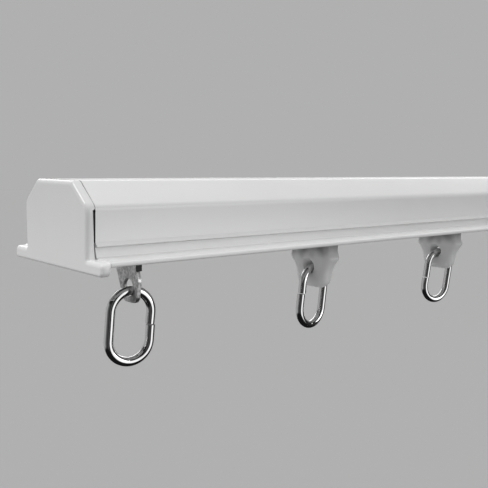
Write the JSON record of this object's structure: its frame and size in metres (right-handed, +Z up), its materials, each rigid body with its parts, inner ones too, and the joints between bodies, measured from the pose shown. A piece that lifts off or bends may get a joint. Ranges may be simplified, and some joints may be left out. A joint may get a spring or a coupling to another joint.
{
  "type": "curtain track with gliders",
  "caption": "Ceiling curtain track: a slotted channel with end caps, end hangers and wheeled gliders, each carrying an oval split ring.",
  "frame": {"origin": "middle of the channel's flat top face, which lies against the ceiling, halfway along the track", "axes": "+X along the track, +Y away from the room towards the wall, +Z up into the ceiling; the room side is -Y"},
  "size_m": [0.6716, 0.0654, 0.0703],
  "materials": {
    "white_powder_coat": "satin white powder coat over extruded aluminium",
    "white_cap_plastic": "smooth white moulded plastic",
    "stamped_steel": "plain stamped steel, faintly brushed",
    "black_stop_plastic": "black moulded plastic",
    "polished_ring_steel": "polished bright steel wire",
    "glider_nylon": "grey translucent nylon, smooth moulded",
    "wheel_plastic": "pale moulded acetal"
  },
  "bodies": {
    "track": {"rail": "white_powder_coat", "end_cap_left": "white_cap_plastic", "end_cap_right": "white_cap_plastic", "hanger_left_plate": "stamped_steel", "hanger_left_stop": "black_stop_plastic", "hanger_left_grub_screws": "stamped_steel", "hanger_right_plate": "stamped_steel", "hanger_right_stop": "black_stop_plastic", "hanger_right_grub_screws": "stamped_steel"},
    "hanger_left_ring": {"hanger_left_ring": "polished_ring_steel"},
    "hanger_right_ring": {"hanger_right_ring": "polished_ring_steel"},
    "glider_1": {"glider_1_body": "glider_nylon", "glider_1_axle": "stamped_steel"},
    "glider_1_wheel_front": {"glider_1_wheel_front": "wheel_plastic"},
    "glider_1_wheel_back": {"glider_1_wheel_back": "wheel_plastic"},
    "glider_1_ring": {"glider_1_ring": "polished_ring_steel"},
    "glider_2": {"glider_2_body": "glider_nylon", "glider_2_axle": "stamped_steel"},
    "glider_2_wheel_front": {"glider_2_wheel_front": "wheel_plastic"},
    "glider_2_wheel_back": {"glider_2_wheel_back": "wheel_plastic"},
    "glider_2_ring": {"glider_2_ring": "polished_ring_steel"},
    "glider_3": {"glider_3_body": "glider_nylon", "glider_3_axle": "stamped_steel"},
    "glider_3_wheel_front": {"glider_3_wheel_front": "wheel_plastic"},
    "glider_3_wheel_back": {"glider_3_wheel_back": "wheel_plastic"},
    "glider_3_ring": {"glider_3_ring": "polished_ring_steel"},
    "glider_4": {"glider_4_body": "glider_nylon", "glider_4_axle": "stamped_steel"},
    "glider_4_wheel_front": {"glider_4_wheel_front": "wheel_plastic"},
    "glider_4_wheel_back": {"glider_4_wheel_back": "wheel_plastic"},
    "glider_4_ring": {"glider_4_ring": "polished_ring_steel"},
    "glider_5": {"glider_5_body": "glider_nylon", "glider_5_axle": "stamped_steel"},
    "glider_5_wheel_front": {"glider_5_wheel_front": "wheel_plastic"},
    "glider_5_wheel_back": {"glider_5_wheel_back": "wheel_plastic"},
    "glider_5_ring": {"glider_5_ring": "polished_ring_steel"}
  },
  "joints": [
    {"name": "hanger_left_ring_swing", "type": "hinge", "parent": "track", "child": "hanger_left_ring", "pos_m": [-0.3066, -0.00187, -0.04132], "axis": [1, 0, 0], "range_deg": [-75, 75]},
    {"name": "hanger_right_ring_swing", "type": "hinge", "parent": "track", "child": "hanger_right_ring", "pos_m": [0.3066, -0.00207, -0.04132], "axis": [1, 0, 0], "range_deg": [-75, 75]},
    {"name": "glider_1_slide", "type": "slide", "parent": "track", "child": "glider_1", "axis": [1, 0, 0], "range_m": [-0.07, 0.038]},
    {"name": "glider_1_wheel_front_spin", "type": "hinge", "parent": "glider_1", "child": "glider_1_wheel_front", "pos_m": [-0.2044, -0.01165, -0.01735], "axis": [0, 1, 0], "continuous": true},
    {"name": "glider_1_wheel_back_spin", "type": "hinge", "parent": "glider_1", "child": "glider_1_wheel_back", "pos_m": [-0.2044, 0.01165, -0.01735], "axis": [0, 1, 0], "continuous": true},
    {"name": "glider_1_ring_swing", "type": "hinge", "parent": "glider_1", "child": "glider_1_ring", "pos_m": [-0.205, 0, -0.0413], "axis": [1, 0, 0], "range_deg": [-75, 75]},
    {"name": "glider_2_slide", "type": "slide", "parent": "track", "child": "glider_2", "axis": [1, 0, 0], "range_m": [-0.038, 0.038]},
    {"name": "glider_2_wheel_front_spin", "type": "hinge", "parent": "glider_2", "child": "glider_2_wheel_front", "pos_m": [-0.1022, -0.01165, -0.01735], "axis": [0, 1, 0], "continuous": true},
    {"name": "glider_2_wheel_back_spin", "type": "hinge", "parent": "glider_2", "child": "glider_2_wheel_back", "pos_m": [-0.1022, 0.01165, -0.01735], "axis": [0, 1, 0], "continuous": true},
    {"name": "glider_2_ring_swing", "type": "hinge", "parent": "glider_2", "child": "glider_2_ring", "pos_m": [-0.1028, 0, -0.0413], "axis": [1, 0, 0], "range_deg": [-75, 75]},
    {"name": "glider_3_slide", "type": "slide", "parent": "track", "child": "glider_3", "axis": [1, 0, 0], "range_m": [-0.038, 0.038]},
    {"name": "glider_3_wheel_front_spin", "type": "hinge", "parent": "glider_3", "child": "glider_3_wheel_front", "pos_m": [0, -0.01165, -0.01735], "axis": [0, 1, 0], "continuous": true},
    {"name": "glider_3_wheel_back_spin", "type": "hinge", "parent": "glider_3", "child": "glider_3_wheel_back", "pos_m": [0, 0.01165, -0.01735], "axis": [0, 1, 0], "continuous": true},
    {"name": "glider_3_ring_swing", "type": "hinge", "parent": "glider_3", "child": "glider_3_ring", "pos_m": [-0.0006, 0, -0.0413], "axis": [1, 0, 0], "range_deg": [-75, 75]},
    {"name": "glider_4_slide", "type": "slide", "parent": "track", "child": "glider_4", "axis": [1, 0, 0], "range_m": [-0.038, 0.038]},
    {"name": "glider_4_wheel_front_spin", "type": "hinge", "parent": "glider_4", "child": "glider_4_wheel_front", "pos_m": [0.1022, -0.01165, -0.01735], "axis": [0, 1, 0], "continuous": true},
    {"name": "glider_4_wheel_back_spin", "type": "hinge", "parent": "glider_4", "child": "glider_4_wheel_back", "pos_m": [0.1022, 0.01165, -0.01735], "axis": [0, 1, 0], "continuous": true},
    {"name": "glider_4_ring_swing", "type": "hinge", "parent": "glider_4", "child": "glider_4_ring", "pos_m": [0.1016, 0, -0.0413], "axis": [1, 0, 0], "range_deg": [-75, 75]},
    {"name": "glider_5_slide", "type": "slide", "parent": "track", "child": "glider_5", "axis": [1, 0, 0], "range_m": [-0.038, 0.07]},
    {"name": "glider_5_wheel_front_spin", "type": "hinge", "parent": "glider_5", "child": "glider_5_wheel_front", "pos_m": [0.2044, -0.01165, -0.01735], "axis": [0, 1, 0], "continuous": true},
    {"name": "glider_5_wheel_back_spin", "type": "hinge", "parent": "glider_5", "child": "glider_5_wheel_back", "pos_m": [0.2044, 0.01165, -0.01735], "axis": [0, 1, 0], "continuous": true},
    {"name": "glider_5_ring_swing", "type": "hinge", "parent": "glider_5", "child": "glider_5_ring", "pos_m": [0.2038, 0, -0.0413], "axis": [1, 0, 0], "range_deg": [-75, 75]}
  ],
  "couplings": [
    {"joint": "glider_1_wheel_front_spin", "follows": "glider_1_slide", "rad_per_m": 133.33},
    {"joint": "glider_1_wheel_back_spin", "follows": "glider_1_slide", "rad_per_m": 133.33},
    {"joint": "glider_2_wheel_front_spin", "follows": "glider_2_slide", "rad_per_m": 133.33},
    {"joint": "glider_2_wheel_back_spin", "follows": "glider_2_slide", "rad_per_m": 133.33},
    {"joint": "glider_3_wheel_front_spin", "follows": "glider_3_slide", "rad_per_m": 133.33},
    {"joint": "glider_3_wheel_back_spin", "follows": "glider_3_slide", "rad_per_m": 133.33},
    {"joint": "glider_4_wheel_front_spin", "follows": "glider_4_slide", "rad_per_m": 133.33},
    {"joint": "glider_4_wheel_back_spin", "follows": "glider_4_slide", "rad_per_m": 133.33},
    {"joint": "glider_5_wheel_front_spin", "follows": "glider_5_slide", "rad_per_m": 133.33},
    {"joint": "glider_5_wheel_back_spin", "follows": "glider_5_slide", "rad_per_m": 133.33}
  ]
}
